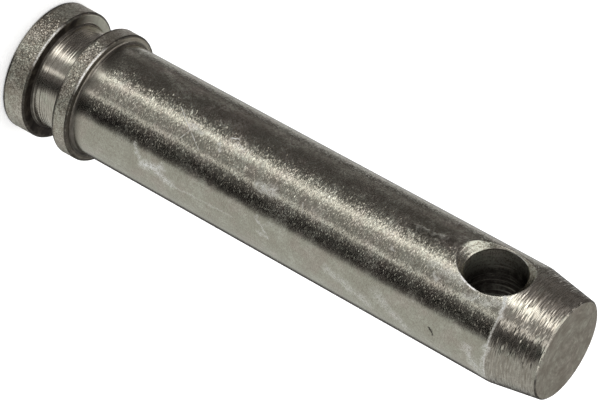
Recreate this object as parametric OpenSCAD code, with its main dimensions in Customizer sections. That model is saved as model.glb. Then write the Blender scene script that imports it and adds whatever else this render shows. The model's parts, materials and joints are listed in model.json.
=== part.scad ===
// Top link pin, turned from one round bar and plated.
// A head flange and a collar leave a groove between them, and a plain shaft runs from the collar
// to a tapered tip. A countersunk cross hole near the tip takes a linch pin.
// The pin stands on its head: the origin is the centre of the head's end face and +Z runs to the
// tip. The cross hole lies along Y.

/* [Shaft] */
// Diameter of the shaft
shaft_d = 25.4; // [19:0.1:32]
// Length from the collar's bearing face to the middle of the cross hole
grip_l = 98; // [40:0.5:180]
// Length from the middle of the cross hole to the end of the tip
tail_l = 17.5; // [14:0.1:40]

/* [Head] */
// Thickness of the head flange
head_t = 5.7; // [3:0.1:12]
// Width of the groove between the head flange and the collar
groove_w = 7.7; // [3:0.1:15]
// Thickness of the collar
collar_t = 3.9; // [2.5:0.1:10]
// How far the head flange and the collar stand out from the shaft's surface
flange_rise = 1.95; // [1.2:0.05:6]
// How far the neck in the groove lies below the shaft's surface
neck_drop = 1.15; // [0:0.05:4]

/* [Tip] */
// Length of the tapered lead-in, measured along the pin
taper_l = 10.85; // [4:0.05:20]
// Angle between the taper and the pin's axis
taper_angle = 9.7; // [3:0.1:20]
// Width of the broken edge round the end face
tip_break = 0.3; // [0.1:0.05:1]

/* [Linch pin hole] */
// Diameter of the cross hole
hole_d = 12.7; // [6:0.1:14]
// Depth of the countersink below the crown of the shaft
sink_depth = 2.1; // [1.9:0.05:3]
// Included angle of the countersink
sink_angle = 90; // [60:1:110]

/* [Edges] */
// Radius on the outer edges of the head flange and the collar
edge_r = 0.5; // [0.2:0.05:1]
// Radius of the fillets in the groove and under the collar
root_r = 0.7; // [0.2:0.05:1]

/* [Hidden] */
$fn = 96;

shaft_r = shaft_d / 2;
flange_r = shaft_r + flange_rise;
neck_r = shaft_r - neck_drop;
hole_r = hole_d / 2;

// Heights along the pin, from the head's end face
groove_z = head_t;
collar_z = groove_z + groove_w;
face_z = collar_z + collar_t;
hole_z = face_z + grip_l;
tip_z = hole_z + tail_l;
taper_z = tip_z - taper_l;

// A fillet never reaches past the flat that it runs into
neck_fillet = min(root_r, groove_w / 2, flange_r - neck_r - edge_r);
face_fillet = min(root_r, flange_rise - edge_r);

// Straight steps that each quarter round is drawn with
round_steps = 6;

// Points of a quarter round about [r, z], turned from one angle to the other
function quarter(r, z, radius, from, to) = [
    for (i = [0 : round_steps])
        let (a = from + (to - from) * i / round_steps)
            [r + radius * cos(a), z + radius * sin(a)]
];

// Both outer edges of a flange between two heights
function flange_rim(low, high) = concat(
    quarter(flange_r - edge_r, low + edge_r, edge_r, -90, 0),
    quarter(flange_r - edge_r, high - edge_r, edge_r, 0, 90)
);

// The neck between the two flanges, with a fillet at each end
function neck_line() = concat(
    quarter(neck_r + neck_fillet, groove_z + neck_fillet, neck_fillet, -90, -180),
    quarter(neck_r + neck_fillet, collar_z - neck_fillet, neck_fillet, 180, 90)
);

// The shaft from its fillet under the collar to the start of the taper
function shaft_line() = concat(
    quarter(shaft_r + face_fillet, face_z + face_fillet, face_fillet, -90, -180),
    [[shaft_r, taper_z]]
);

// Radius of the taper at a height
function taper_r(z) = shaft_r - (z - taper_z) * tan(taper_angle);

// The taper, the broken edge and the end face
function tip_line() = [
    [taper_r(tip_z - tip_break), tip_z - tip_break],
    [taper_r(tip_z) - tip_break, tip_z],
    [0, tip_z]
];

// Half of the pin's section, turned about its axis
module turned_blank() {
    rotate_extrude()
        polygon(concat(
            [[0, 0]],
            flange_rim(0, groove_z),
            neck_line(),
            flange_rim(collar_z, face_z),
            shaft_line(),
            tip_line()
        ));
}

// What the drill and the countersink take out: a straight hole that opens into a cone each way
module hole_cutter() {
    sink_h = shaft_r - sink_depth;
    clear_h = shaft_r + 1;
    clear_r = hole_r + (clear_h - sink_h) * tan(sink_angle / 2);
    translate([0, 0, hole_z])
        rotate([90, 0, 0])
            rotate_extrude()
                polygon([
                    [0, -clear_h],
                    [clear_r, -clear_h],
                    [hole_r, -sink_h],
                    [hole_r, sink_h],
                    [clear_r, clear_h],
                    [0, clear_h]
                ]);
}

module top_link_pin() {
    color([0.60, 0.59, 0.55])
        difference() {
            turned_blank();
            hole_cutter();
        }
}

top_link_pin();
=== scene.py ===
"""A top link pin: one piece of turned and zinc-plated steel, standing on its grooved head.

The file is laid out as an add-on and is run as a script. The turned body is a half outline that a
Geometry Nodes tree turns about the pin's axis and marks with the lathe's feed and the bar's pits.
The two mouths of the cross hole are meshed round their saddle-shaped rims and join it.
"""

import json
import math

import bmesh
import bpy
import numpy as np
from bpy.props import FloatProperty, FloatVectorProperty, IntProperty, PointerProperty, StringProperty
from bpy.types import Operator, Panel, PropertyGroup
from mathutils import Matrix, Vector


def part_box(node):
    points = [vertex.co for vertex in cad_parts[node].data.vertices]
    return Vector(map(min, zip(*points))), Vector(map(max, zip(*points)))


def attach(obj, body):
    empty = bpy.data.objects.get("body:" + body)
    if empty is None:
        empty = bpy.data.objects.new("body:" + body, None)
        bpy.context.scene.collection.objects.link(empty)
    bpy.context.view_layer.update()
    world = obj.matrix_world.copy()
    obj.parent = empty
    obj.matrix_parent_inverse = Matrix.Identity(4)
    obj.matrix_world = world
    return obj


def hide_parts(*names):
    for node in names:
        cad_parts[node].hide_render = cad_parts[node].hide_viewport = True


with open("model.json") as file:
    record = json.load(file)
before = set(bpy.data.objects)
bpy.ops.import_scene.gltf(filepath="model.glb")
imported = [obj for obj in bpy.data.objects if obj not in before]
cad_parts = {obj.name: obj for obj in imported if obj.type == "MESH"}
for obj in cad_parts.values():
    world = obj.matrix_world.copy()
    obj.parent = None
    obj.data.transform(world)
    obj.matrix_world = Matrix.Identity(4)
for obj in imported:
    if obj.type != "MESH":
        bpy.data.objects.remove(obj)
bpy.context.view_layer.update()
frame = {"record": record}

bl_info = {
    "name": "Top Link Pin",
    "version": (1, 0, 0),
    "blender": (4, 5, 0),
    "location": "3D View > Sidebar > Top Link Pin",
    "description": "Builds a turned, zinc-plated top link pin and the studio round it",
    "category": "Object",
}

MM = 0.001
NODE = "top_link_pin"

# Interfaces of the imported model, in millimetres
MOUNTS = {mount["name"]: mount for mount in frame["record"]["mounts"]}
SHAFT_R = MOUNTS["link_shaft"]["dims"]["r_mm"]
HOLE_R = MOUNTS["linch_pin_hole"]["dims"]["r_mm"]
HOLE_Z = MOUNTS["linch_pin_hole"]["pos_m"][2] / MM
BORE_HALF = MOUNTS["linch_pin_hole"]["dims"]["length_mm"] / 2
FACE_Z = MOUNTS["collar_face"]["pos_m"][2] / MM
FLANGE_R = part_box(NODE)[1].x / MM
TIP_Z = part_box(NODE)[1].z / MM


def length(name, description, default, **more):
    """A property for a size, given in millimetres and kept in metres."""
    return FloatProperty(
        name=name, description=description, default=default * MM, unit="LENGTH", precision=5, **more
    )


def colour(name, description, code):
    """A property for a colour, given as an sRGB hex code."""
    return StringProperty(name=name, description=description, default=code)


def linear(code):
    """An sRGB hex code as linear red, green, blue and alpha."""
    parts = [int(code[i : i + 2], 16) / 255 for i in (1, 3, 5)]
    return (*(p / 12.92 if p <= 0.04045 else ((p + 0.055) / 1.055) ** 2.4 for p in parts), 1.0)


class PinSizes(PropertyGroup):
    """Sizes of the pin, those that the frame doesn't give as a mount."""

    head_t: length("Head thickness", "Thickness of the head flange", 5.7)
    groove_w: length("Groove width", "Width between the head flange and the collar", 7.7)
    neck_r: length("Neck radius", "Radius of the neck in the groove", 11.55)
    edge_r: length("Edge radius", "Radius on the outer edges of the head flange and the collar", 0.5)
    root_r: length("Root radius", "Radius of the fillets in the groove and under the collar", 0.7)
    flare_h: length("Flare height", "How far the neck flares out where it meets the head", 0.2)
    flare_l: length("Flare length", "Length of the neck over which it flares", 2.4)
    taper_l: length("Taper length", "Length of the tapered lead-in", 10.85)
    taper_angle: FloatProperty(
        name="Taper angle", description="Angle between the taper and the pin's axis",
        default=math.radians(9.7), subtype="ANGLE",
    )
    tip_break: length("Tip break", "Width of the broken edge round the end face", 0.3)
    crease_r: length("Crease softening", "Half width over which the taper's first edge is worn round", 0.25)
    rim_break: length("Rim break", "Width of the rounding on the countersink's rim", 0.19)
    bore_break: length("Bore break", "Width of the rounding between countersink and bore", 0.08)
    segments: IntProperty(name="Segments", description="Faces round the pin", default=224, min=48)


class TurningMarks(PropertyGroup):
    """What the bar, the lathe and handling left on the surface as real shape."""

    neck_feed: length("Neck feed", "Spacing of the turning rings on the neck", 0.62)
    taper_feed: length("Taper feed", "Spacing of the turning rings on the taper", 0.56)
    face_feed: length("Face feed", "Spacing of the facing rings on the end faces", 0.9)
    ring_depth: length("Ring depth", "Depth of the turning rings", 0.006)
    pit_depth: length("Pit depth", "Depth of the pits in the flange rims", 0.1)
    pit_size: length("Pit size", "Size of the pits in the flange rims", 0.9)
    wave_depth: length("Waviness", "How far the bar's skin wanders in and out", 0.012)
    wave_size: length("Wave size", "Distance over which the bar's skin wanders", 14)
    burr_h: length("Burr height", "Height of the burr on the rim of the cross hole", 0.32)
    seed: IntProperty(name="Seed", description="Start of the random pattern of pits", default=7)


class Plating(PropertyGroup):
    """Colours of the zinc plating and of what lies on it, and of the painted shade and painted highlights."""

    zinc: colour("Zinc", "Clean zinc plating on steel, a little green", "#E3E3D2")
    zinc_pink: colour("Pink zinc", "The same plating where its film is thinner", "#E6DFD1")
    zinc_dull: colour("Dull zinc", "Where the plating is thin or stained", "#A3998A")
    # The colour of the painted highlights on edges and burrs, which also stand for plating worn bright
    bright: colour("Bright edge", "Plating worn bright on edges and burrs", "#F7F5F2")
    # White bloom; its colour is also used for the painted highlights below the hole and along the taper's
    # first edge
    bloom: colour("Bloom", "White zinc oxide that blooms on the plating", "#D9DBDA")
    # Dark film in pits and stains, and the colour of the painted shade in the roots, on the flanges' edges
    # and in the bore
    grime: colour("Grime", "Dark film in pits, roots and the bore", "#2B2422")


class Studio(PropertyGroup):
    """The camera as the photograph was taken, and the level of the light."""

    target: FloatVectorProperty(
        name="Target", description="Point that the camera looks at", subtype="TRANSLATION",
        default=(-0.402 * MM, -0.331 * MM, 67.241 * MM), precision=5,
    )
    distance: length("Distance", "From the camera to its target", 603.155)
    azimuth: FloatProperty(
        name="Azimuth", description="Direction of the camera round the pin, from +X towards +Y",
        default=math.radians(-50.521), subtype="ANGLE",
    )
    elevation: FloatProperty(
        name="Elevation", description="Angle of the camera above the floor",
        default=math.radians(25.23), subtype="ANGLE",
    )
    roll: FloatProperty(
        name="Roll", description="Turn of the camera about its own axis, to lay the pin across the picture",
        default=math.radians(118.864), subtype="ANGLE",
    )
    lens: FloatProperty(
        name="Lens", description="Focal length in millimetres on a 36 mm sensor", default=178.236
    )
    floor: colour("Floor", "Pale studio floor", "#F4F4F4")
    floor_lift: FloatProperty(
        name="Floor lift", description="White that the camera sees on top of the lit floor", default=0.2
    )
    world_light: FloatProperty(name="World light", description="Strength of the white surround", default=1.0)
    ceiling_light: FloatProperty(
        name="Ceiling light", description="Strength of the surround where the metal mirrors it", default=0.3
    )
    lamp_watts: FloatProperty(
        name="Lamp power", description="Power of the soft lamp overhead", default=14, unit="POWER"
    )
    lamp_width: length("Lamp width", "Width of the soft lamp's disk", 2000)


# Nodes


# The setting that a node's kind can have after it: the first of these that the node has
MODES = ("operation", "interpolation_type", "noise_dimensions", "data_type")


def add(tree, kind, *values, out=None, **named):
    """Adds a node and gives its first output that is in use, or the one asked for.

    The values go into its inputs in order. Of the named ones, those that start with a capital letter
    are inputs and the rest are settings. An input takes a value or another node's output.
    """
    kind, _, mode = kind.partition(" ")
    node = tree.nodes.new(kind if "Node" in kind else "ShaderNode" + kind)
    settings = {name: value for name, value in named.items() if name[0].islower()}
    if mode:
        settings[next(name for name in MODES if hasattr(node, name))] = mode
    for name, value in settings.items():
        setattr(node, name, value)
    for key, value in (*enumerate(values), *named.items()):
        if key in settings:
            continue
        if isinstance(value, bpy.types.NodeSocket):
            tree.links.new(value, node.inputs[key])
        else:
            node.inputs[key].default_value = value
    if out:
        return node.outputs[out]
    return next((socket for socket in node.outputs if socket.enabled), None)


def placed(name, data):
    """An object in the scene, made of a mesh, a lamp or a camera."""
    thing = bpy.data.objects.new(name, data)
    bpy.context.scene.collection.objects.link(thing)
    return thing


# The half outline


# Rows of points to each turn of the tool, and to each rounded edge
FEED_ROWS = 4
RIM_ROWS = 5

FINISHES = ("faced", "rim", "turned", "shaft", "bore")

# What each point of the outline says beside its place: how strongly the lathe's rings show there,
# how many turns the tool has made, how strongly the bar's pits and waves show, how much dark film
# and painted shade there is, and how much wear and painted highlight
LAYERS = ("ring", "turns", "pit", "wave", "grime", "worn")


class Outline:
    """Half of the pin's section, from the middle of the head's end face to the middle of the tip.

    Each point has the layers above, and each edge a finish.
    """

    def __init__(self):
        self.points = [(0.0, 0.0)]
        self.layers = {name: [0.0] for name in LAYERS}
        self.finish = []

    def put(self, r, z, finish, **layers):
        """Adds a point, and the finish of the edge that leads to it."""
        self.points.append((float(r), float(z)))
        for name, values in self.layers.items():
            values.append(layers.get(name, 0.0))
        self.finish.append(FINISHES.index(finish))

    def run(self, r, z, finish, step=None, feed=0.0, ring=1.0, wave=0.0, pit=0.0, grime=(0.0, 0.0)):
        """A straight stretch to (r, z), in steps of about the given size, or FEED_ROWS to a feed.

        Rings and waves fade out at both of its ends, and the dark film and painted shade go over from one
        share to another.
        """
        r0, z0 = self.points[-1]
        span = math.hypot(r - r0, z - z0)
        rows = max(1, round(FEED_ROWS * span / feed if feed else span / step))
        for i in range(1, rows + 1):
            t = i / rows
            inside = min(1.0, 4 * t, 4 * (1 - t))
            self.put(
                r0 + (r - r0) * t, z0 + (z - z0) * t, finish,
                ring=inside * ring if feed else 0.0, turns=span * t / feed if feed else 0.0,
                wave=inside * wave, pit=pit, grime=grime[0] + (grime[1] - grime[0]) * t,
            )

    def quarter(self, r, z, radius, start, end, finish, rows=RIM_ROWS, worn=0.0, **layers):
        """A round about (r, z), from one angle to the other in degrees, with its wear and painted highlight
        strongest at its middle.
        """
        for i in range(1, rows + 1):
            a = math.radians(start + (end - start) * i / rows)
            worn_here = worn * math.sin(math.pi * i / rows) ** 2
            self.put(r + radius * math.cos(a), z + radius * math.sin(a), finish, worn=worn_here, **layers)


def taper_z(sizes):
    return TIP_Z - sizes.taper_l / MM


def outer_r(z, sizes):
    """Radius of the shaft and taper at a height, with the edge between them worn round."""
    soft = sizes.crease_r / MM
    past = np.asarray(z, float) - taper_z(sizes)
    eased = np.where(np.abs(past) < soft, (past + soft) ** 2 / (4 * soft), np.maximum(past, 0))
    return SHAFT_R - eased * math.tan(sizes.taper_angle)


def taper_turns(z, sizes, marks):
    """How many turns the tool has made at a height on the taper."""
    return (np.asarray(z, float) - taper_z(sizes)) / math.cos(sizes.taper_angle) / (marks.taper_feed / MM)


def flange_rim(outline, low, high, sizes, film):
    """The outside of a flange: a lower edge darkened by dark film and painted shade, the bar's pitted skin,
    and an upper edge with painted shade and a painted highlight where it is worn bright.
    """
    edge = sizes.edge_r / MM
    outline.quarter(FLANGE_R - edge, low + edge, edge, -90, 0, "rim", pit=0.3, grime=film)
    outline.run(FLANGE_R, high - edge, "rim", step=0.3, pit=1)
    outline.quarter(FLANGE_R - edge, high - edge, edge, 0, 90, "rim", pit=0.6, grime=0.9, worn=1)


def neck(outline, sizes, marks):
    """The groove's fillets and the neck between them, which flares out towards the head."""
    head_t, neck_r, root = sizes.head_t / MM, sizes.neck_r / MM, sizes.root_r / MM
    flare_h, flare_l = sizes.flare_h / MM, sizes.flare_l / MM
    collar_z = head_t + sizes.groove_w / MM
    slope = 2 * flare_h / flare_l
    centre_r, centre_z = neck_r + flare_h + root * math.cos(slope), head_t + root
    # The groove's fillets are darkened by painted shade, most at the head's root
    outline.quarter(centre_r, centre_z, root, -90, -140, "turned", rows=3, grime=1)
    outline.quarter(centre_r, centre_z, root, -140, math.degrees(slope) - 180, "turned", rows=3, grime=0.2)
    start_z = centre_z - root * math.sin(slope)
    span = collar_z - root - start_z
    rows = round(FEED_ROWS * span / (marks.neck_feed / MM))
    for i in range(1, rows + 1):
        past = span * i / rows
        outline.put(
            neck_r + flare_h * max(0, 1 - past / flare_l) ** 2, start_z + past, "turned",
            ring=min(1, i / 6, (rows - i) / 4), turns=i / FEED_ROWS,
        )
    outline.quarter(neck_r + root, collar_z - root, root, 180, 90, "turned", grime=0.6)


# The hole's window: how far it reaches below the hole, how many feeds past the taper's first edge,
# and how many columns of the turned mesh to each side
WINDOW_BELOW = 10.3
WINDOW_FEEDS = 5
WINDOW_COLUMNS = 26

# How strongly the lathe's rings show on the taper
TAPER_RING = 0.7

# Width over which the surface turns at each corner of the tip's broken edge
CORNER = 0.02


def taper(outline, sizes, marks):
    """The taper from its softened first edge, a row for each share of a feed, up to the broken edge."""
    crease = taper_z(sizes)
    row = marks.taper_feed / MM * math.cos(sizes.taper_angle) / FEED_ROWS
    rows = int((TIP_Z - sizes.tip_break / MM - crease) / row)
    for i in range(-1, rows + 1):
        z = crease + i * row
        ring = TAPER_RING * max(0.0, min(1.0, i / 5, (rows - i) / 2))
        outline.put(outer_r(z, sizes), z, "turned" if i > 0 else "shaft", ring=ring, turns=i / FEED_ROWS)


def tip(outline, sizes, feed):
    """The broken edge, with a sharp corner and a few pits, and the end face."""
    width = sizes.tip_break / MM
    low, low_r = TIP_Z - width, outer_r(TIP_Z - width, sizes)
    face_r = outer_r(TIP_Z, sizes) - width
    outline.put(outer_r(low - CORNER, sizes), low - CORNER, "turned")
    # The broken edge is darkened by painted shade, with a few pits at its middle
    for share in (0, CORNER / width, 0.5, 1 - CORNER / width, 1):
        outline.put(
            low_r + (face_r - low_r) * share, TIP_Z - width * (1 - share), "turned",
            pit=0.25 if share == 0.5 else 0, grime=0.55,
        )
    outline.put(face_r - CORNER, TIP_Z, "faced")
    outline.run(0, TIP_Z, "faced", feed=feed)


def half_outline(sizes, marks):
    """The pin's half outline, and the numbers of the rows that bound the hole's window."""
    head_t, edge, root = sizes.head_t / MM, sizes.edge_r / MM, sizes.root_r / MM
    collar_z = head_t + sizes.groove_w / MM
    feed = marks.face_feed / MM
    outline = Outline()
    outline.run(FLANGE_R - edge, 0, "faced", feed=feed)
    flange_rim(outline, 0, head_t, sizes, film=1.0)
    # The groove's face is darkened by painted shade, as dark film
    outline.run(sizes.neck_r / MM + root, head_t, "faced", feed=feed, ring=0.5, grime=(1.0, 0.95))
    neck(outline, sizes, marks)
    outline.run(FLANGE_R - edge, collar_z, "turned", step=0.4)
    flange_rim(outline, collar_z, FACE_Z, sizes, film=0.9)
    # The collar's bearing face and its fillet are darkened by painted shade
    outline.run(SHAFT_R + root, FACE_Z, "faced", step=0.25, grime=(0.6, 0.9))
    outline.quarter(SHAFT_R + root, FACE_Z + root, root, -90, -180, "turned", grime=0.85)
    outline.run(SHAFT_R, HOLE_Z - WINDOW_BELOW, "shaft", step=1.9, wave=1)
    first = len(outline.points) - 1
    outline.run(SHAFT_R, taper_z(sizes) - sizes.crease_r / MM, "shaft", step=0.8)
    last = len(outline.points) + 1 + FEED_ROWS * WINDOW_FEEDS
    taper(outline, sizes, marks)
    tip(outline, sizes, feed)
    return outline, first, last


def marked_mesh(name, points, edges, faces, layers, finish):
    """A mesh in metres whose points have the layers, and its faces or else its edges the finish."""
    mesh = bpy.data.meshes.new(name)
    mesh.from_pydata([tuple(p) for p in np.asarray(points) * MM], edges, faces)
    for layer, values in layers.items():
        stored = mesh.attributes.new(layer, "FLOAT", "POINT")
        stored.data.foreach_set("value", np.asarray(values, np.float32))
    stored = mesh.attributes.new("finish", "INT", "FACE" if faces else "EDGE")
    stored.data.foreach_set("value", np.asarray(finish, np.int32))
    return mesh


def outline_object(outline):
    """The half outline as edges in the XZ plane."""
    points = [(r, 0, z) for r, z in outline.points]
    edges = [(i, i + 1) for i in range(len(points) - 1)]
    mesh = marked_mesh("half_outline", points, edges, [], outline.layers, outline.finish)
    return placed("turned_pin", mesh)


# The mouths of the cross hole


# Rows from the window's edge to the rim, over the rim, down the countersink and to the bore's middle
PATCH_ROWS = 13
BREAK_ROWS = 4
CONE_ROWS = 5
BORE_ROWS = 8
CONE_START = PATCH_ROWS + BREAK_ROWS
BORE_START = CONE_START + CONE_ROWS

# How the patch's rows crowd towards the rim, and the share of a rounding that lies on the countersink
CROWDING = 1.25
INNER_SHARE = 0.7

# The burr on the rim: the middle of its arc, half its width and how far it fades at its ends, as
# angles round the hole in degrees
BURR_ANGLE = -20
BURR_SPREAD = 25
BURR_FADE = 10

# Painted shade in the hole, as a dark film: its share at the bore's mouth, the depth in millimetres
# over which it grows to full, how much less of it there is on the lit side, and that side's angle round the
# hole
FILM = 0.52
FILM_DEPTH = 8
FILM_SIDE = 0.35
LIT_SIDE = -115

# The bore's edge gets a painted highlight round this angle, and the rest of the rim hardly any wear and
# painted highlight
SHINY_SIDE = 170
RIM_WEAR = 0.1


def cone_h(radius):
    """Distance from the pin's axis of the 90 degree countersink, at a distance from the hole's axis."""
    return BORE_HALF + (radius - HOLE_R)


def rim_radius(angle, sizes):
    """Distance of the countersink's rim from the hole's axis, by halving, at angles round the hole."""
    near, far = np.full_like(angle, HOLE_R), np.full_like(angle, SHAFT_R * 0.98)
    for _ in range(40):
        middle = (near + far) / 2
        r = outer_r(HOLE_Z + middle * np.sin(angle), sizes)
        surface = np.sqrt(np.maximum(r**2 - (middle * np.cos(angle)) ** 2, 0))
        above = cone_h(middle) > surface
        far = np.where(above, middle, far)
        near = np.where(above, near, middle)
    return near


def bend(a, b, c, t):
    """Point on the curve from a to c that leans towards b."""
    return a * (1 - t) ** 2 + b * 2 * t * (1 - t) + c * t**2


def burr_share(angle):
    """How much of the burr is left at an angle round the hole."""
    off = np.abs((angle - math.radians(BURR_ANGLE) + math.pi) % (2 * math.pi) - math.pi)
    return np.clip((math.radians(BURR_SPREAD) - off) / math.radians(BURR_FADE), 0, 1)


def burr(angle, marks):
    """Height of the burr on the rim, torn into teeth of two sizes, by the angle round the hole."""
    ragged = 0.55 + 0.25 * np.sin(angle * 37) + 0.2 * np.sin(angle * 83 + 1)
    return marks.burr_h / MM * ragged * burr_share(angle)


def mouth_rings(outline, first, last, sizes, marks):
    """Closed rows of points from the window's edge to the middle of the bore, on the -Y side.

    The angle of each column round the hole's axis comes with them.
    """
    step = 2 * math.pi / sizes.segments
    across = [j * step for j in range(-WINDOW_COLUMNS, WINDOW_COLUMNS + 1)]
    up = [z for _, z in outline.points[first : last + 1]]
    loop = [(a, up[0]) for a in across] + [(across[-1], z) for z in up[1:]]
    loop += [(a, up[-1]) for a in across[-2::-1]] + [(across[0], z) for z in up[-2:0:-1]]
    turn, height = np.array(loop).T
    angle = np.arctan2(height - HOLE_Z, outer_r(height, sizes) * np.sin(turn))
    cos, sin = np.cos(angle), np.sin(angle)
    rim, edge, inner = rim_radius(angle, sizes), sizes.rim_break / MM, sizes.bore_break / MM

    def on_cone(radius):
        return np.stack([radius * cos, -cone_h(radius), HOLE_Z + radius * sin], 1)

    rings = []
    rim_z = HOLE_Z + (rim + edge) * sin
    rim_turn = np.arcsin((rim + edge) * cos / outer_r(rim_z, sizes))
    for i in range(PATCH_ROWS + 1):
        t = 1 - (1 - i / PATCH_ROWS) ** CROWDING
        z = height + (rim_z - height) * t
        a = turn + (rim_turn - turn) * t
        rings.append(np.stack([outer_r(z, sizes) * np.sin(a), -outer_r(z, sizes) * np.cos(a), z], 1))
    highest, lowest = rim - edge * INNER_SHARE, HOLE_R + inner * INNER_SHARE
    outside, corner, inside = rings[-1], on_cone(rim), on_cone(highest)
    down = np.array([0, -1, 0])
    lift = burr(angle, marks)[:, None] * down
    for i in range(1, BREAK_ROWS + 1):
        t = i / BREAK_ROWS
        rings.append(bend(outside, corner, inside, t) + lift * math.sin(math.pi * t) ** 2)
    for i in range(1, CONE_ROWS + 1):
        rings.append(on_cone(highest + (lowest - highest) * i / CONE_ROWS))
    wall = np.stack([HOLE_R * cos, np.zeros_like(angle), HOLE_Z + HOLE_R * sin], 1)
    top, corner, below = rings[-1], wall + down * BORE_HALF, wall + down * (BORE_HALF - inner)
    rings += [bend(top, corner, below, 0.5), below]
    for i in range(1, BORE_ROWS + 1):
        rings.append(wall + down * (BORE_HALF - inner) * (1 - i / BORE_ROWS))
    return np.array(rings), angle


def mouths_object(outline, first, last, sizes, marks):
    """Both mouths of the cross hole and the bore between them, as one mesh."""
    rings, angle = mouth_rings(outline, first, last, sizes, marks)
    count = len(angle)
    near = rings.reshape(-1, 3)
    points = np.concatenate([near, near * (1, -1, 1)])
    faces, finish = [], []
    for side in (0, 1):
        for k in range(len(rings) - 1):
            for j in range(count):
                a, b = (side * len(near) + k * count + column for column in (j, (j + 1) % count))
                face = (a, b, b + count, a + count)
                faces.append(face if side else face[::-1])
                on_taper = sum(points[v][2] for v in face) / 4 > taper_z(sizes)
                skin = "turned" if on_taper else "shaft"
                finish.append(FINISHES.index("bore" if k >= PATCH_ROWS + BREAK_ROWS // 2 else skin))

    row = np.arange(len(rings))[:, None]
    z = rings[..., 2]
    depth = BORE_HALF - np.abs(rings[..., 1])
    # Painted shade in the bore: darker with depth and lighter towards the lit side
    film = np.clip(FILM + depth / FILM_DEPTH - FILM_SIDE * np.cos(angle - math.radians(LIT_SIDE)), 0, 1)
    past = (z - taper_z(sizes)) / (2 * marks.taper_feed / MM)
    at_rim = (row >= PATCH_ROWS) & (row < CONE_START)
    # The burr's bright edge is wear and painted highlight; the bore's edge gets a painted highlight at one
    # side
    rim_wear = np.where(at_rim, RIM_WEAR + (1 - RIM_WEAR) * burr_share(angle), 0)
    bore_wear = 0.7 * np.clip(8 * np.cos(angle - math.radians(SHINY_SIDE)) - 7, 0, 1)
    layers = dict.fromkeys(LAYERS, np.zeros_like(z))
    layers["ring"] = np.where(row <= PATCH_ROWS, TAPER_RING * np.clip(past, 0, 1), 0)
    layers["turns"] = taper_turns(z, sizes, marks)
    layers["grime"] = np.where((row > CONE_START) & (depth > 0), film, 0)
    layers["worn"] = np.where(np.abs(row - BORE_START) < 2, bore_wear, rim_wear)
    layers = {name: np.tile(values.ravel(), 2) for name, values in layers.items()}
    return placed("hole_mouths", marked_mesh("hole_mouths", points, [], faces, layers, finish))


# The tree that turns the outline


TREE_INPUTS = {
    "Outline": "Geometry",
    "Hole Mouths": "Object",
    "Segments": "Int",
    "Window Slope": "Float",
    "Window Low": "Float",
    "Window High": "Float",
    "Ring Depth": "Float",
    "Pit Depth": "Float",
    "Pit Size": "Float",
    "Wave Depth": "Float",
    "Wave Size": "Float",
    "Seed": "Int",
}

# Points closer than this are one, where the mouths join the turned body
MERGE = 0.002 * MM

# The shallowest of the tool's rings, as a share of the deepest
SHALLOW = 0.35


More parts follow.
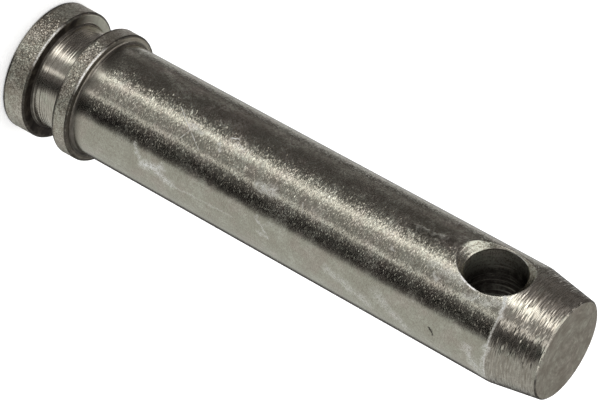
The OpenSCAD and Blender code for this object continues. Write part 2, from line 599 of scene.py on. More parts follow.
def turning_tree(materials):
    """A tree that turns a half outline about Z, opens the windows, joins the mouths and marks it."""
    tree = bpy.data.node_groups.new("turned_about_axis", "GeometryNodeTree")
    for name, kind in TREE_INPUTS.items():
        tree.interface.new_socket(name, in_out="INPUT", socket_type="NodeSocket" + kind)
    tree.interface.new_socket("Pin", in_out="OUTPUT", socket_type="NodeSocketGeometry")
    given = add(tree, "NodeGroupInput").node.outputs

    # One grid vertex for each outline point and each direction round the axis
    rows = add(tree, "GeometryNodeAttributeDomainSize", given["Outline"], out="Point Count")
    columns = add(tree, "Math ADD", given["Segments"], 1)
    shape = add(tree, "GeometryNodeMeshGrid", **{"Vertices X": columns, "Vertices Y": rows})
    index = add(tree, "GeometryNodeInputIndex")

    def column_and_row(height):
        """Where the grid's vertices or faces stand, in columns of the given height."""
        column = add(tree, "Math FLOOR", add(tree, "Math DIVIDE", add(tree, "Math ADD", index, 0.25), height))
        return column, add(tree, "Math SUBTRACT", index, add(tree, "Math MULTIPLY", column, height))

    def from_outline(kind, value, at, domain="POINT"):
        """A value of the outline, read at one of its points or edges."""
        return add(
            tree, "GeometryNodeSampleIndex " + kind, given["Outline"], domain=domain, Value=value, Index=at
        )

    column, row = column_and_row(rows)
    face_row = column_and_row(add(tree, "Math SUBTRACT", rows, 1))[1]
    stored = [(name, "FLOAT", row, "POINT", "POINT") for name in LAYERS]
    for name, kind, at, domain, to_domain in (*stored, ("finish", "INT", face_row, "EDGE", "FACE")):
        value = add(tree, "GeometryNodeInputNamedAttribute " + kind, name)
        shape = add(
            tree, "GeometryNodeStoreNamedAttribute " + kind, shape, domain=to_domain,
            Name=name, Value=from_outline(kind, value, at, domain),
        )

    position = add(tree, "GeometryNodeInputPosition")
    r, _, height = add(tree, "SeparateXYZ", from_outline("FLOAT_VECTOR", position, row)).node.outputs
    turn = add(tree, "Math DIVIDE", add(tree, "Math MULTIPLY", column, 2 * math.pi), given["Segments"])
    x, y = (add(tree, "Math MULTIPLY", r, add(tree, "Math " + wave, turn)) for wave in ("COSINE", "SINE"))
    turned = add(tree, "CombineXYZ", x, y, height)
    shape = add(tree, "GeometryNodeSetPosition", shape, Position=turned)

    # A window for each mouth, which the mesh round the rim fills
    x, y, z = add(tree, "SeparateXYZ", position).node.outputs
    side = add(tree, "Math MULTIPLY", add(tree, "Math ABSOLUTE", y), given["Window Slope"])
    inside = add(tree, "Math LESS_THAN", add(tree, "Math ABSOLUTE", x), side)
    above = add(tree, "Math GREATER_THAN", z, given["Window Low"])
    below = add(tree, "Math LESS_THAN", z, given["Window High"])
    for limit in (above, below):
        inside = add(tree, "FunctionNodeBooleanMath AND", inside, limit)
    shape = add(tree, "GeometryNodeDeleteGeometry", shape, inside, domain="FACE")
    mouths = add(tree, "GeometryNodeObjectInfo", given["Hole Mouths"], out="Geometry")
    joined = add(tree, "GeometryNodeJoinGeometry", shape)
    tree.links.new(mouths, joined.node.inputs[0])
    shape = add(tree, "GeometryNodeMergeByDistance", joined, Distance=MERGE)

    # The lathe's rings: a hollow for each turn of the tool, some cut deeper than others
    layer = {name: add(tree, "GeometryNodeInputNamedAttribute FLOAT", name) for name in LAYERS}
    across = add(tree, "Math SUBTRACT", add(tree, "Math FRACT", layer["turns"]), 0.5)
    square = add(tree, "Math MULTIPLY", across, across)
    hollow = add(tree, "Math SUBTRACT", 1, add(tree, "Math MULTIPLY", square, 4))
    number = add(tree, "Math FLOOR", layer["turns"])
    chance = add(
        tree, "FunctionNodeRandomValue FLOAT", Min=SHALLOW, Max=1.0, ID=number, Seed=given["Seed"]
    )
    rings = add(
        tree, "Math MULTIPLY", add(tree, "Math MULTIPLY", hollow, chance),
        add(tree, "Math MULTIPLY", layer["ring"], given["Ring Depth"]),
    )

    # Pits in the skin of the bar, which the flange rims keep, and the slow wander of the shaft
    depth = rings
    for name, detail, roughness in (("Pit", 3.0, 0.7), ("Wave", 2.0, 0.5)):
        scale = add(tree, "Math DIVIDE", 1, given[name + " Size"])
        noise = add(
            tree, "TexNoise 4D", Vector=position, W=given["Seed"], Scale=scale, Detail=detail,
            Roughness=roughness,
        )
        deepest = add(tree, "Math MULTIPLY", noise, given[name + " Depth"])
        depth = add(tree, "Math ADD", depth, add(tree, "Math MULTIPLY", deepest, layer[name.lower()]))
    inwards = add(tree, "Math MULTIPLY", depth, -1)
    offset = add(tree, "VectorMath SCALE", add(tree, "GeometryNodeInputNormal"), Scale=inwards)
    shape = add(tree, "GeometryNodeSetPosition", shape, Offset=offset)
    shape = add(tree, "GeometryNodeSetShadeSmooth", shape, **{"Shade Smooth": True})
    shape = add(tree, "GeometryNodeRealizeInstances", shape)
    finish = add(tree, "GeometryNodeInputNamedAttribute INT", "finish")
    for number, name in enumerate(FINISHES):
        chosen = add(tree, "FunctionNodeCompare EQUAL", data_type="INT", A=finish, B=number)
        shape = add(tree, "GeometryNodeSetMaterial", shape, chosen, materials[name])
    add(tree, "NodeGroupOutput", shape)
    return tree


def plain_mesh(thing, name):
    """Replaces an object's live modifiers by the mesh that they make."""
    evaluated = thing.evaluated_get(bpy.context.evaluated_depsgraph_get())
    mesh = bpy.data.meshes.new_from_object(evaluated)
    thing.modifiers.clear()
    thing.data = mesh
    mesh.name = name
    return mesh


# Patterns


# Half of each part of a random colour, which is taken off so that the rest is 0 on average
HALVES = (0.5, 0.5, 0.5)

# Directions round the pin from the camera's own, in degrees: where handling starts to burnish the
# surface and where it has done so fully, where the far side ends, on which the dark film and painted
# shade are lifted and the head's faces get painted light, and the middle of the side whose edges get
# a painted highlight, worn bright, with how far it reaches from it and fades out
BURNISH_TURN = (18, 28)
CLEAR_TURN = (-80, -50)
RUB_TURN = -14
RUB_REACH = (12, 27)

# Heights in millimetres between which the finishes come to their full strength above the collar, the
# painted light on the head's faces ends, and the dark dots in the bloom end
CALM_Z = (FACE_Z, FACE_Z + 4.5)
LIFT_Z = (8.0, 12.0)
DOTS_Z = (119.4, 120.2)


def grain(tree, place, around, along, seed, detail=2.0, roughness=0.6, distortion=0.0, out=None):
    """Noise of the given size in millimetres round and along the pin, 0.5 on average."""
    scaled = add(tree, "VectorMath MULTIPLY", place, (1 / around, 1 / around, 1 / along))
    return add(
        tree, "TexNoise 4D", out=out, Vector=scaled, W=seed, Scale=1.0,
        Detail=detail, Roughness=roughness, Distortion=distortion,
    )


def cells(tree, place, around, along, warp):
    """Random numbers for each small patch or stroke of the given size, -0.5 to 0.5."""
    warp = add(tree, "VectorMath SCALE", add(tree, "VectorMath SUBTRACT", warp, HALVES), Scale=0.8)
    scaled = add(tree, "VectorMath MULTIPLY", place, (1 / around, 1 / around, 1 / along))
    cell = add(tree, "TexVoronoi", add(tree, "VectorMath ADD", scaled, warp), Scale=1.0, out="Color")
    return add(tree, "SeparateXYZ", add(tree, "VectorMath SUBTRACT", cell, HALVES)).node.outputs


def mark_group():
    """How near a place lies to a stroke from one point to another: 1 on it, 0 its width away."""
    tree = bpy.data.node_groups.new("mark", "ShaderNodeTree")
    for name, kind in (("Place", "Vector"), ("From", "Vector"), ("To", "Vector"), ("Width", "Float")):
        tree.interface.new_socket(name, in_out="INPUT", socket_type="NodeSocket" + kind)
    tree.interface.new_socket("Mask", in_out="OUTPUT", socket_type="NodeSocketFloat")
    given = add(tree, "NodeGroupInput").node.outputs
    stroke = add(tree, "VectorMath SUBTRACT", given["To"], given["From"])
    reach = add(tree, "VectorMath SUBTRACT", given["Place"], given["From"])
    square = add(tree, "Math MAXIMUM", add(tree, "VectorMath DOT_PRODUCT", stroke, stroke), 0.001)
    share = add(tree, "Math DIVIDE", add(tree, "VectorMath DOT_PRODUCT", reach, stroke), square)
    held = add(tree, "Math MINIMUM", add(tree, "Math MAXIMUM", share, 0), 1)
    nearest = add(tree, "VectorMath SCALE", stroke, Scale=held)
    gap = add(tree, "VectorMath DISTANCE", reach, nearest)
    off = add(tree, "Math DIVIDE", gap, given["Width"])
    add(tree, "NodeGroupOutput", add(tree, "MapRange SMOOTHSTEP", off, 0, 1, 1, 0))
    return tree


def direction(tree, x, y, azimuth):
    """Angle round the pin from the camera's own direction, in radians."""
    cos, sin = math.cos(azimuth), math.sin(azimuth)
    sideways = add(
        tree, "Math SUBTRACT", add(tree, "Math MULTIPLY", y, cos), add(tree, "Math MULTIPLY", x, sin)
    )
    forward = add(tree, "Math MULTIPLY_ADD", x, cos, add(tree, "Math MULTIPLY", y, sin))
    return add(tree, "Math ARCTAN2", sideways, forward)


def worn_side(tree, turn):
    """How strongly the edges get a painted highlight, worn bright, on one side, by the direction round the
    pin.
    """
    off = add(tree, "Math ABSOLUTE", add(tree, "Math ADD", turn, math.radians(-RUB_TURN)))
    return add(tree, "MapRange SMOOTHSTEP", off, *map(math.radians, RUB_REACH), 1.0, 0.0)


# Marks on the shaft: height in millimetres and direction from the camera's own in degrees, for the
# start and the end, then width in millimetres and strength
# Pale patches: white zinc bloom, with painted highlights below the hole and along the taper's first edge
BLOOM = {
    "v_left": (33.6, 26, 36, 40, 0.9, 0.5),
    "v_right": (41, 35, 39.5, 41, 1.0, 0.4),
    "v_foot": (36.6, 42, 41, 36.5, 1.9, 0.75),
    "v_heel": (40, 43, 43.8, 46.5, 1.7, 0.65),
    "streak": (43, 48, 60, 45, 0.5, 0.35),
    "second_left": (65.6, 31, 69.2, 46.5, 0.7, 0.5),
    "second_right": (69.5, 30, 67, 37, 0.7, 0.35),
    "second_foot": (66.5, 46, 69.2, 45.5, 0.7, 0.35),
    "patch": (64, 4, 67, 2, 2.0, 0.55),
    "low": (84, 44, 94, 58, 2.0, 0.4),
    "lower": (96, 42, 103, 62, 2.2, 0.4),
    "by_crease": (118, 46, 121, 72, 2.2, 0.5),
    "crease_highlight_top": (121.3, -15, 122.2, 3, 0.9, 0.9),
    "crease_highlight_low": (121.9, 30, 121.3, 68, 0.9, 0.55),
    "highlight_by_hole": (114, 1, 121, -7, 1.6, 0.42),
    "haze_by_hole": (104.7, -10, 111.4, -7.5, 1.8, 0.35),
    "dot": (95.5, -6, 96, -5, 0.8, 0.5),
    "scar_left": (97, -34.5, 99.5, -36.5, 0.8, 0.28),
    "scar_right": (101, -37, 103.5, -39, 0.8, 0.28),
    "other_dot": (106, -3, 107, -1, 0.9, 0.5),
    "band": (43, -15, 46, -13, 0.9, 0.45),
    "other_band": (51, -13, 52, -7, 0.6, 0.5),
}
# Pale lines, with painted highlights along the taper's first edge and below the hole
LINES = {
    "crease": (121.95, -10, 121.95, 70, 0.42, 0.6),
    "scratch": (39, -26, 48, 2, 0.13, 0.6),
    "crossing": (43, 0, 45, -20, 0.13, 0.6),
    "highlight_by_hole": (115.2, 3, 116.3, -5, 0.14, 0.9),
    "by_band": (52.6, -22.5, 54.2, -25.5, 0.2, 0.9),
    "above_band": (54.5, -22, 57, -17, 0.13, 0.6),
    "below_band": (74, -2, 75, 6, 0.13, 0.5),
}
DARK_MARKS = {
    "nick": (109.1, 45, 109.7, 50, 0.5, 1.0),
    "scar": (95.5, -31, 105, -37, 1.2, 0.35),
    "stain_by_collar": (23, 22, 30, 17, 2.0, 0.6),
    "stain_long": (46, 16, 62, 22, 1.5, 0.3),
    "stain_low": (124.5, 77, 131, 79, 4.6, 0.34),
}


def marks_mask(tree, group, table, place):
    """The strongest of the marks in a table, at each place."""
    strongest = None
    for z0, turn0, z1, turn1, width, strength in table.values():
        start, end = ((z, math.radians(turn) * SHAFT_R, 0) for z, turn in ((z0, turn0), (z1, turn1)))
        mark = add(tree, "Group", node_tree=group, Place=place, From=start, To=end, Width=width)
        mask = add(tree, "Math MULTIPLY", mark, strength)
        strongest = mask if strongest is None else add(tree, "Math MAXIMUM", strongest, mask)
    return strongest


# Each finish says what the surface is made of; sizes are in millimetres
PLAIN = dict(
    # The shader's own values, and how bright the metal's edge is
    roughness=0.2, metal=1.0, anisotropic=0.0, edge_tint=1.0,
    # Strokes: size round and along the pin, tilt in both directions, how much more the steepest tilt
    size=(0.9, 0.2), tilt=0.0, tilt_along=0.0, sharp=0.0,
    # Blotches: size, and how far they change the tone, the roughness and the tilt
    blotch=4.0, blotch_tone=0.0, blotch_rough=0.0, blotch_tilt=0.0,
    # Rings left by the tool: size, length round the pin, tone and tilt, and the tilt of each feed
    ring_size=0.4, ring_run=22.0, ring_tone=0.0, ring_tilt=0.0, feed_tilt=0.0,
    # Tone: its level between dull and clean, how far strokes and mottling change it, how far painted
    # light raises it on the head's faces on the far side, and how much of the plating is pink
    level=0.5, tone=0.0, mottle=0.0, lift=0.0, pink=0.0,
    # How black the dark film and painted shade get, how much haze lies over it, and what is left of the
    # strokes where handling has burnished them
    dark=0.75, haze=0.0, burnish=1.0,
    # Whether it is the bar's pitted skin, calms down towards the collar, has the marks, is in the hole
    skin=False, calm=False, marked=False, drilled=False,
)
FINISH = {
    # Faced in the lathe and plated: a fine even face, so it looks like one dull olive grey, with painted
    # light on the head's faces on the far side
    "faced": dict(
        PLAIN, material="zinc_plated_faced_steel", roughness=0.34, metal=0.92, size=(3.0, 0.35), tilt=0.02,
        tone=0.25, level=0.25, lift=0.65, blotch=2.2, blotch_tone=1.6, ring_tone=0.5, ring_tilt=0.05,
        mottle=1.3, dark=0.98,
    ),
    # The bar's own skin, left as forged and pickled: a sandy, pitted band that scatters the light
    "rim": dict(
        PLAIN, material="zinc_plated_forged_skin", roughness=0.32, metal=0.93, size=(0.2, 0.2), tilt=0.62,
        tilt_along=0.62, sharp=6, tone=1.0, level=0.38, blotch=3.2, blotch_tone=2.2, blotch_rough=0.25,
        pink=0.04, dark=0.92, burnish=0.55, skin=True,
    ),
    # Turned with a pointed tool and plated: clear rings, so the light breaks into bright hoops
    "turned": dict(
        PLAIN, material="zinc_plated_turned_steel", roughness=0.17, metal=0.97, anisotropic=0.4,
        size=(1.3, 0.14), tilt=0.09, tilt_along=0.08, sharp=40, tone=0.5, level=0.6, blotch_tone=0.8,
        ring_size=0.3, ring_run=32.0, ring_tone=1.4, ring_tilt=0.6, feed_tilt=0.32, mottle=0.9, pink=0.14,
        dark=0.82, marked=True, calm=True,
    ),
    # Cold-drawn bar, tumbled and plated: bright, with short strokes round it and clouded patches
    "shaft": dict(
        PLAIN, material="zinc_plated_drawn_steel", roughness=0.13, metal=0.99, anisotropic=0.4,
        size=(0.34, 0.07), tilt=0.055, tilt_along=0.065, sharp=110, tone=0.4, blotch=4.5, blotch_tone=0.6,
        blotch_rough=0.1, blotch_tilt=0.06, mottle=1.7, haze=0.14, burnish=0.6, marked=True, calm=True,
    ),
    # Drilled, with a thin dark plating that the bath hardly reached: nearly black, with faint rings
    "bore": dict(
        PLAIN, material="zinc_plated_drilled_steel", roughness=0.26, edge_tint=0.4, size=(0.4, 0.3),
        tilt=0.07, tilt_along=0.06, sharp=30, tone=1.4, level=0.78, blotch=1.6, blotch_tone=1.3,
        ring_size=0.35, ring_tone=2.4, ring_tilt=0.8, mottle=2.0, dark=0.97, drilled=True,
    ),
}


def lathe_place(tree, drilled):
    """The place in millimetres, its three parts, the direction round the axis, and the lathe's place.

    In the hole, the axis is the hole's. The lathe's place has the arc round the axis, as on the
    shaft, and the path along the outline.
    """
    place = add(tree, "VectorMath SCALE", add(tree, "TexCoord", out="Object"), Scale=1 / MM)
    x, y, z = add(tree, "SeparateXYZ", place).node.outputs
    if drilled:
        y, z = add(tree, "Math SUBTRACT", z, HOLE_Z), y
    flat = add(tree, "CombineXYZ", x, y)
    outward = add(tree, "VectorMath NORMALIZE", flat)
    hoop = add(tree, "VectorMath CROSS_PRODUCT", (0, 0, 1), outward)
    if drilled:
        hoop_x, hoop_y, hoop_z = add(tree, "SeparateXYZ", hoop).node.outputs
        hoop = add(tree, "CombineXYZ", hoop_x, hoop_z, hoop_y)
    arc = add(tree, "SeparateXYZ", add(tree, "VectorMath SCALE", outward, Scale=SHAFT_R)).node.outputs
    path = add(tree, "Math ADD", add(tree, "Math ABSOLUTE", z), add(tree, "VectorMath LENGTH", flat))
    return place, (x, y, z), hoop, add(tree, "CombineXYZ", arc[0], arc[1], path)


def shaft_marks(tree, group, place, z, turn, clouds, haze):
    """Masks of the pale marks, with the bloom and the painted highlights, and of the dark marks on the shaft
    and the taper.
    """
    flat = add(tree, "CombineXYZ", z, add(tree, "Math MULTIPLY", turn, SHAFT_R))
    stray = grain(tree, place, 1.6, 1.6, seed=2.2, detail=3.0, out="Color")
    stray = add(tree, "VectorMath MULTIPLY", add(tree, "VectorMath SUBTRACT", stray, HALVES), (3.0, 3.0, 0))
    wandering = add(tree, "VectorMath ADD", flat, stray)
    speckle = grain(tree, place, 0.45, 0.45, seed=4.4, detail=4.0, roughness=0.7)
    blooming = marks_mask(tree, group, BLOOM, wandering)
    broken = add(tree, "MapRange SMOOTHSTEP", speckle, 0.36, 0.6, 0.1, 1.0)
    bloom = add(tree, "Math MULTIPLY", blooming, broken)
    hazy = add(
        tree, "Math MULTIPLY", add(tree, "MapRange SMOOTHSTEP", clouds, -0.05, 0.2),
        add(tree, "MapRange SMOOTHSTEP", speckle, 0.35, 0.7),
    )
    hazy = add(tree, "Math MULTIPLY", hazy, haze)
    broken = add(tree, "MapRange SMOOTHSTEP", speckle, 0.35, 0.55, 0.25, 1.0)
    lines = add(tree, "Math MULTIPLY", marks_mask(tree, group, LINES, flat), broken)
    pale = add(tree, "Math MAXIMUM", add(tree, "Math MAXIMUM", bloom, hazy), lines)
    holes = add(tree, "MapRange SMOOTHSTEP", speckle, 0.3, 0.45, 0.6, 0.0)
    dots = add(tree, "Math MULTIPLY", blooming, holes)
    dots = add(tree, "Math MULTIPLY", dots, add(tree, "MapRange SMOOTHSTEP", z, *DOTS_Z, 1.0, 0.0))
    return pale, add(tree, "Math MAXIMUM", marks_mask(tree, group, DARK_MARKS, wandering), dots)


def plated(plating, azimuth, group, spec):
    """A plated steel material, made as its finish says."""
    material = bpy.data.materials.new(spec["material"])
    material.use_nodes = True
    tree = material.node_tree
    shader = tree.nodes["Principled BSDF"]
    shader.inputs["Anisotropic"].default_value = spec["anisotropic"]
    shader.inputs["Anisotropic Rotation"].default_value = 0.25
    shader.inputs["Specular Tint"].default_value = (*[spec["edge_tint"]] * 3, 1)
    drilled = spec["drilled"]
    place, (x, y, z), hoop, lathe = lathe_place(tree, drilled)
    turn = direction(tree, x, y, azimuth)
    ring, turns, pit, _, film, worn = (
        add(tree, "Attribute", attribute_name=name, out="Fac") for name in LAYERS
    )

    # The patterns: strokes, blotches, tool rings, mottling and the feed's own rings
    warp = grain(tree, place, 0.7, 0.7, seed=1.0, out="Color")
    strokes, others, tones = cells(tree, lathe, *spec["size"], warp)
    clouds = grain(tree, place, spec["blotch"], spec["blotch"], seed=3.1, detail=5.0, distortion=0.5)
    rings = grain(tree, lathe, spec["ring_run"], spec["ring_size"], seed=5.7, detail=3.0, roughness=0.7)
    mottle = grain(tree, place, 0.6, 0.7, seed=6.6, detail=4.0, roughness=0.75)
    clouds, rings, mottle = (add(tree, "Math SUBTRACT", noise, 0.5) for noise in (clouds, rings, mottle))
    broken = add(tree, "MapRange SMOOTHSTEP", grain(tree, lathe, 25, 0.5, seed=8.2), 0.35, 0.6, 0.3, 1.4)
    feed = add(tree, "Math SUBTRACT", add(tree, "Math FRACT", turns), 0.5)
    feed = add(tree, "Math MULTIPLY", add(tree, "Math MULTIPLY", feed, ring), broken)

    # Where they are weaker: towards the collar, off the pitted skin, and where the pin is burnished
    share = pit if spec["skin"] else add(tree, "MapRange SMOOTHSTEP", z, *CALM_Z, 0.3, 1.0)
    if spec["calm"]:
        rings = add(tree, "Math MULTIPLY", rings, add(tree, "MapRange SMOOTHSTEP", z, *CALM_Z, 0.6, 1.0))
    if spec["burnish"] < 1:
        start, full = map(math.radians, BURNISH_TURN)
        burnish = add(tree, "MapRange SMOOTHSTEP", turn, start, full, 1.0, spec["burnish"])
        share = add(tree, "Math MULTIPLY", share, burnish)
    if spec["skin"] or spec["calm"]:
        strokes, others = (add(tree, "Math MULTIPLY", value, share) for value in (strokes, others))

    # The tilted surface: the few steepest strokes tilt far more than the rest
    def steep(value):
        more = add(tree, "Math MULTIPLY_ADD", add(tree, "Math POWER", value, 4), spec["sharp"], 1.0)
        return add(tree, "Math MULTIPLY", value, more)

    normal = add(tree, "NewGeometry", out="Normal")
    along = add(tree, "VectorMath CROSS_PRODUCT", normal, hoop)
    tilts = (
        (hoop, steep(strokes), spec["tilt"]),
        (along, steep(others), spec["tilt_along"]),
        (along, rings, spec["ring_tilt"]),
        (along, feed, spec["feed_tilt"]),
        (hoop, clouds, spec["blotch_tilt"]),
    )
    for tangent, amount, strength in tilts:
        if strength:
            shift = add(tree, "VectorMath SCALE", tangent, Scale=add(tree, "Math MULTIPLY", amount, strength))
            normal = add(tree, "VectorMath ADD", normal, shift)
    tree.links.new(add(tree, "VectorMath NORMALIZE", normal), shader.inputs["Normal"])
    if spec["anisotropic"]:
        tree.links.new(add(tree, "Tangent", direction_type="RADIAL", axis="Z"), shader.inputs["Tangent"])

    # The tone, from dull to clean zinc, painted light on the head's faces on the far side, and a drift of
    # tint
    tone = add(tree, "Math MULTIPLY_ADD", tones, spec["tone"], spec["level"])
    tone = add(tree, "Math MULTIPLY_ADD", clouds, spec["blotch_tone"], tone)
    if not drilled:
        # Painted light: the head's faces are lightened on the far side, fading out between the given heights
        clear = add(tree, "MapRange SMOOTHSTEP", turn, *map(math.radians, CLEAR_TURN), 1.0, 0.0)
        lift = add(tree, "MapRange SMOOTHSTEP", z, *LIFT_Z, spec["lift"], 0.0)
        tone = add(tree, "Math MULTIPLY_ADD", clear, lift, tone)
    patchy = add(
        tree, "Math MULTIPLY", mottle, add(tree, "MapRange SMOOTHSTEP", clouds, -0.12, 0.14, 0.4, 1.5)
    )
    if spec["calm"]:
        patchy = add(tree, "Math MULTIPLY", patchy, share)
    tone = add(tree, "Math MULTIPLY_ADD", patchy, spec["mottle"], tone)
    tone = add(tree, "Math MULTIPLY_ADD", rings, spec["ring_tone"], tone, use_clamp=True)
    drift = grain(tree, place, 5.0, 5.0, seed=9.9, detail=3.0)
    drift = add(tree, "MapRange SMOOTHSTEP", drift, 0.46 - spec["pink"], 0.66 - spec["pink"])
    clean = add(tree, "Mix RGBA", drift, A=linear(plating.zinc), B=linear(plating.zinc_pink))
    tint = add(tree, "Mix RGBA", tone, A=linear(plating.zinc_dull), B=clean)

    # The dark film and painted shade, in patches: on the skin it is lifted on the side of the painted
    # highlight, in the hole along the rings, and elsewhere on the far side
    patches = add(tree, "MapRange SMOOTHSTEP", clouds, -0.3, 0.1, 0.8 if drilled else 0.55, 1.0)
    film = add(tree, "Math MULTIPLY", film, patches)
    if spec["skin"]:
        left = add(tree, "Math MULTIPLY_ADD", worn_side(tree, turn), -0.8, 1.0)
    elif drilled:
        left = add(tree, "MapRange SMOOTHSTEP", rings, 0.06, 0.2, 1.0, 0.75)
    else:
        left = add(tree, "Math MULTIPLY_ADD", clear, -0.9, 1.0)
    film = add(tree, "Math MULTIPLY", film, left)
    # The dark film and painted shade darken the tint
    black = add(tree, "Math MULTIPLY", film, spec["dark"])
    tint = add(tree, "Mix RGBA", black, A=tint, B=linear(plating.grime))

    # Edges worn bright as painted highlights, outside the hole on one side only, and the metal and the
    # roughness that follow from all this
    worn = add(tree, "Math MULTIPLY", worn, add(tree, "MapRange SMOOTHSTEP", mottle, -0.12, 0.06, 0.35, 1.1))
    if not drilled:
        worn = add(tree, "Math MULTIPLY", worn, worn_side(tree, turn))
    tint = add(tree, "Mix RGBA", worn, A=tint, B=linear(plating.bright))
    metal = add(tree, "Math MULTIPLY", add(tree, "Math MULTIPLY_ADD", worn, -0.85, 1.0), spec["metal"])
    if drilled:
        depth = add(tree, "Math ABSOLUTE", z)
        inside = add(tree, "MapRange SMOOTHSTEP", depth, BORE_HALF - 0.5, BORE_HALF, 0.85, 1.0)
        metal = add(tree, "Math MULTIPLY", metal, inside)
    rough = add(tree, "Math MULTIPLY_ADD", clouds, spec["blotch_rough"], spec["roughness"])
    rough = add(tree, "Math MULTIPLY_ADD", film, 0.2, rough)
    if spec["marked"]:
        pale, dark = shaft_marks(tree, group, place, z, turn, clouds, spec["haze"])
        tint = add(tree, "Mix RGBA", dark, A=tint, B=linear(plating.grime))
        # Pale marks: bloom, and painted highlights below the hole and along the taper's first edge
        tint = add(tree, "Mix RGBA", pale, A=tint, B=linear(plating.bloom))
        metal = add(tree, "Math MULTIPLY", add(tree, "Math SUBTRACT", 1.0, pale), metal)
        rough = add(tree, "Math MULTIPLY_ADD", pale, 0.5, rough)
    for name, value in (("Metallic", metal), ("Base Color", tint), ("Roughness", rough)):
        tree.links.new(value, shader.inputs[name])
    return material


class TOPLINK_OT_pin(Operator):
    """Turns the pin, cuts its cross hole and plates it"""

    bl_idname = "toplink.pin"
    bl_label = "Make the pin"

    def execute(self, context):
        scene = context.scene
        sizes, marks = scene.pin_sizes, scene.pin_marks
        outline, first, last = half_outline(sizes, marks)
        pin = outline_object(outline)
        mouths = mouths_object(outline, first, last, sizes, marks)
        group = mark_group()
        azimuth = scene.pin_studio.azimuth
        tree = turning_tree({
            name: plated(scene.pin_plating, azimuth, group, spec) for name, spec in FINISH.items()
        })
        modifier = pin.modifiers.new("turned", "NODES")
        modifier.node_group = tree
        sockets = {s.name: s.identifier for s in tree.interface.items_tree if s.in_out == "INPUT"}
        values = {
            "Hole Mouths": mouths,
            "Segments": sizes.segments,
            "Window Slope": math.tan(WINDOW_COLUMNS * 2 * math.pi / sizes.segments),
            "Window Low": outline.points[first][1] * MM,
            "Window High": outline.points[last][1] * MM,
            "Ring Depth": marks.ring_depth,
            "Pit Depth": marks.pit_depth,
            "Pit Size": marks.pit_size,
            "Wave Depth": marks.wave_depth,
            "Wave Size": marks.wave_size,
            "Seed": marks.seed,
        }
        for name, value in values.items():
            modifier[sockets[name]] = value
        mesh = plain_mesh(pin, "turned_pin")
        bpy.data.objects.remove(mouths)
        shell = bmesh.new()
        shell.from_mesh(mesh)
        bmesh.ops.recalc_face_normals(shell, faces=shell.faces)
        open_edges = sum(len(edge.link_faces) != 2 for edge in shell.edges)
        shell.to_mesh(mesh)
        shell.free()
        if open_edges:
            raise RuntimeError(f"the pin's mesh has {open_edges} open edges")
        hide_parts(NODE)
        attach(pin, "root")
        return {"FINISHED"}


# The studio


# Half the floor's side, and the soft lamp's place and the point that it faces, in metres
FLOOR_HALF = 12
LAMP_PLACE = Vector((-0.5, 0.3, 1.6))
LAMP_AIM = Vector((0, 0, 0.06))

# The camera's sensor in millimetres, and the nearest and farthest that it sees in metres
SENSOR = 36
NEAREST, FARTHEST = 0.05, 60


def floor_material(studio):
    """Matt white paper: lit by the lamps, and topped up to white for the camera alone."""
    material = bpy.data.materials.new("white_paper")
    material.use_nodes = True
    tree = material.node_tree
    shader = tree.nodes["Principled BSDF"]
    shader.inputs["Base Color"].default_value = linear(studio.floor)
    shader.inputs["Roughness"].default_value = 1.0
    shader.inputs["Specular IOR Level"].default_value = 0.0
    shader.inputs["Emission Color"].default_value = (1, 1, 1, 1)
    lift = add(tree, "Math MULTIPLY", add(tree, "LightPath", out="Is Camera Ray"), studio.floor_lift)
    tree.links.new(lift, shader.inputs["Emission Strength"])
    return material


# Cards round the pin, seen only in its gloss: name, direction from the camera's own, width, lowest
# and highest angle above the floor, brightness, and the share of the width and of the height over
# which the card fades out; angles are in degrees
CARDS = (
    ("dark_surround", 180, 360, -60, 60, 0.075, 0.0, 0.0),
    ("lamp_glow", -18, 90, -60, 40, 0.27, 0.4, 0.1),
    ("strip_lamp", -31, 24, -60, 30, 1.3, 0.5, 0.1),
    ("strip_lamp_skirt", -45, 90, -18, 10, 0.42, 0.5, 0.4),
    ("strip_lamp_top", -33, 42, -20, 8, 2.6, 0.5, 0.4),
    ("side_lamp", 8, 14, -60, 30, 0.9, 0.45, 0.1),
    ("side_lamp_top", 8, 13, -11, -1, 1.5, 0.45, 0.3),
    ("dark_gap", 36, 26, -60, 40, 0.02, 0.35, 0.1),
    ("grey_wall", 102, 108, -60, 0, 0.52, 0.13, 0.12),
    ("grey_wall_top", 96, 98, -14, 60, 0.35, 0.2, 0.1),
    ("dim_wall", -112, 28, -60, 0, 0.18, 0.4, 0.2),
    ("back_glow", -153, 46, -60, -11, 0.6, 0.5, 0.1),
    ("back_wall", 180, 70, 4, 60, 0.13, 0.2, 0.1),
    ("high_lamp", -44, 104, 36, 66, 1.08, 0.3, 0.2),
)

# Distance of the first card from the pin's axis in metres, and how much nearer each next one stands
CARD_DISTANCE = 3.0
CARD_STEP = 0.02
CARD_TINTS = {
    "dark_surround": "#FFF9FB",
    "strip_lamp_skirt": "#FFFAFC",
    "dim_wall": "#FFFAFC",
    "grey_wall": "#FCFFFE",
    "grey_wall_top": "#FDFFFE",
}


def card_material(name, light, side_fade, end_fade):
    """A lit card that fades out towards its sides and its ends."""
    material = bpy.data.materials.new(name)
    material.use_nodes = True
    tree = material.node_tree
    tree.nodes.clear()
    across, up, _ = add(tree, "SeparateXYZ", add(tree, "UVMap", uv_map="card")).node.outputs
    shown = 1.0
    for share, fade in ((across, side_fade), (up, end_fade)):
        off = add(tree, "Math ABSOLUTE", add(tree, "Math SUBTRACT", share, 0.5))
        edge = add(tree, "MapRange SMOOTHSTEP", off, 0.5 - max(fade, 0.001), 0.5, 1, 0)
        shown = add(tree, "Math MULTIPLY", shown, edge)
    tint = linear(CARD_TINTS.get(name, "#FFFFFF"))
    glow = add(tree, "Emission", tint, light)
    clear = add(tree, "BsdfTransparent")
    add(tree, "OutputMaterial", add(tree, "MixShader", shown, clear, glow))
    return material


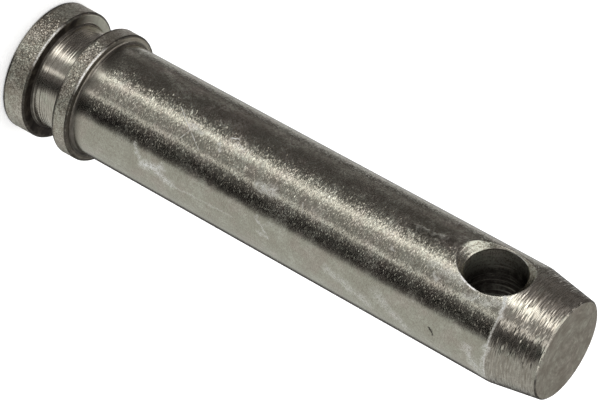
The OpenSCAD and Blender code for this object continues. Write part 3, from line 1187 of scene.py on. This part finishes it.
def card(place, name, facing, width, low, high, light, side_fade, end_fade, studio):
    """A curved upright card, part of a drum round the pin, that only the metal mirrors."""
    distance = CARD_DISTANCE - CARD_STEP * place
    columns = max(2, round(width / 3))
    points, faces, uvs = [], [], []
    for i in range(columns + 1):
        a = studio.azimuth + math.radians(facing + (i / columns - 0.5) * width)
        for angle in (low, high):
            height = distance * math.tan(math.radians(angle))
            points.append((distance * math.cos(a), distance * math.sin(a), height))
    for i in range(columns):
        left, right = i / columns, (i + 1) / columns
        faces.append((2 * i, 2 * i + 2, 2 * i + 3, 2 * i + 1))
        uvs += [left, 0, right, 0, right, 1, left, 1]
    mesh = bpy.data.meshes.new(name)
    mesh.from_pydata(points, [], faces)
    mesh.uv_layers.new(name="card").data.foreach_set("uv", uvs)
    mesh.materials.append(card_material(name, light, side_fade, end_fade))
    thing = placed(name, mesh)
    thing.visible_camera = False
    thing.visible_diffuse = False
    thing.visible_transmission = False
    thing.visible_shadow = False


class TOPLINK_OT_stage(Operator):
    """Lays the pale floor, sets the cards, the lamp and the surround, and places the camera"""

    bl_idname = "toplink.stage"
    bl_label = "Make the studio"

    def execute(self, context):
        studio = context.scene.pin_studio
        mesh = bpy.data.meshes.new("floor")
        corners = [(x * FLOOR_HALF, y * FLOOR_HALF, 0) for x, y in ((-1, -1), (1, -1), (1, 1), (-1, 1))]
        mesh.from_pydata(corners, [], [(0, 1, 2, 3)])
        mesh.materials.append(floor_material(studio))
        floor = placed("floor", mesh)
        floor.visible_glossy = False
        for place, row in enumerate(CARDS):
            card(place, *row, studio)

        world = bpy.data.worlds.new("white_surround")
        context.scene.world = world
        world.use_nodes = True
        tree = world.node_tree
        surround = tree.nodes["Background"]
        surround.inputs["Color"].default_value = (1, 1, 1, 1)
        gloss = add(tree, "LightPath", out="Is Glossy Ray")
        level = add(tree, "MapRange", gloss, 0, 1, studio.world_light, studio.ceiling_light)
        tree.links.new(level, surround.inputs["Strength"])

        lamp = bpy.data.lights.new("soft_lamp", "AREA")
        lamp.shape = "DISK"
        lamp.size = studio.lamp_width
        lamp.energy = studio.lamp_watts
        above = placed("soft_lamp", lamp)
        above.location = LAMP_PLACE
        above.rotation_euler = (LAMP_AIM - LAMP_PLACE).to_track_quat("-Z", "Y").to_euler()

        view = bpy.data.cameras.new("camera")
        view.lens = studio.lens
        view.sensor_width = SENSOR
        view.clip_start, view.clip_end = NEAREST, FARTHEST
        flat = math.cos(studio.elevation)
        back = Vector((
            flat * math.cos(studio.azimuth), flat * math.sin(studio.azimuth), math.sin(studio.elevation)
        ))
        upright = (-back).to_track_quat("-Z", "Y").to_matrix().to_4x4()
        spot = Matrix.Translation(Vector(studio.target) + back * studio.distance)
        camera = placed("camera", view)
        camera.matrix_world = spot @ upright @ Matrix.Rotation(studio.roll, 4, "Z")
        context.scene.camera = camera
        context.scene.view_settings.view_transform = "Standard"
        return {"FINISHED"}


class TOPLINK_PT_panel(Panel):
    """Lists the sizes, finishes and steps of the top link pin"""

    bl_label = "Top Link Pin"
    bl_idname = "TOPLINK_PT_panel"
    bl_space_type = "VIEW_3D"
    bl_region_type = "UI"
    bl_category = "Top Link Pin"

    def draw(self, context):
        scene = context.scene
        for group in (scene.pin_sizes, scene.pin_marks, scene.pin_plating, scene.pin_studio):
            box = self.layout.box()
            box.label(text=group.bl_rna.description)
            for name in group.__annotations__:
                box.prop(group, name)
        self.layout.operator("toplink.pin")
        self.layout.operator("toplink.stage")


GROUPS = {"pin_sizes": PinSizes, "pin_marks": TurningMarks, "pin_plating": Plating, "pin_studio": Studio}
CLASSES = (*GROUPS.values(), TOPLINK_OT_pin, TOPLINK_OT_stage, TOPLINK_PT_panel)


def register():
    for item in CLASSES:
        bpy.utils.register_class(item)
    for name, group in GROUPS.items():
        setattr(bpy.types.Scene, name, PointerProperty(type=group))


def unregister():
    for name in GROUPS:
        delattr(bpy.types.Scene, name)
    for item in reversed(CLASSES):
        bpy.utils.unregister_class(item)


def main():
    """Makes the pin and its studio."""
    register()
    bpy.ops.toplink.pin()
    bpy.ops.toplink.stage()
    bpy.context.view_layer.update()


if __name__ == "__main__":
    main()
